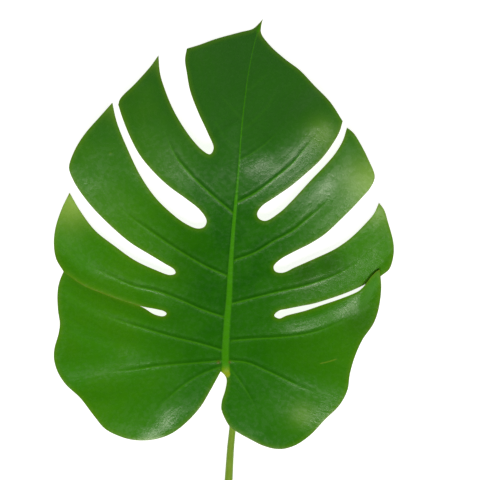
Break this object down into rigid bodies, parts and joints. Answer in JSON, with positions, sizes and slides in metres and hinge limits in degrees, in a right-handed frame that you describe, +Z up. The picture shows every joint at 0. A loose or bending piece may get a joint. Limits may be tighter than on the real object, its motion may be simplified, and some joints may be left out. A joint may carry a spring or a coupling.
{
  "type": "monstera leaf",
  "caption": "Cut monstera leaf lying face up: a broad heart-shaped blade with deep slits and raised ribs, on a slim stalk.",
  "frame": {"origin": "on the surface that the leaf lies on, under the middle of the whole leaf's footprint", "axes": "+Y from the stalk's cut end towards the leaf's tip, +Z up out of the leaf's upper face, +X to the right when the tip points away"},
  "size_m": [0.2904, 0.4664, 0.0201],
  "materials": {
    "leaf_green": "satin",
    "stalk_green": "satin"
  },
  "bodies": {
    "root": {"blade": "leaf_green", "petiole": "stalk_green"}
  },
  "joints": []
}
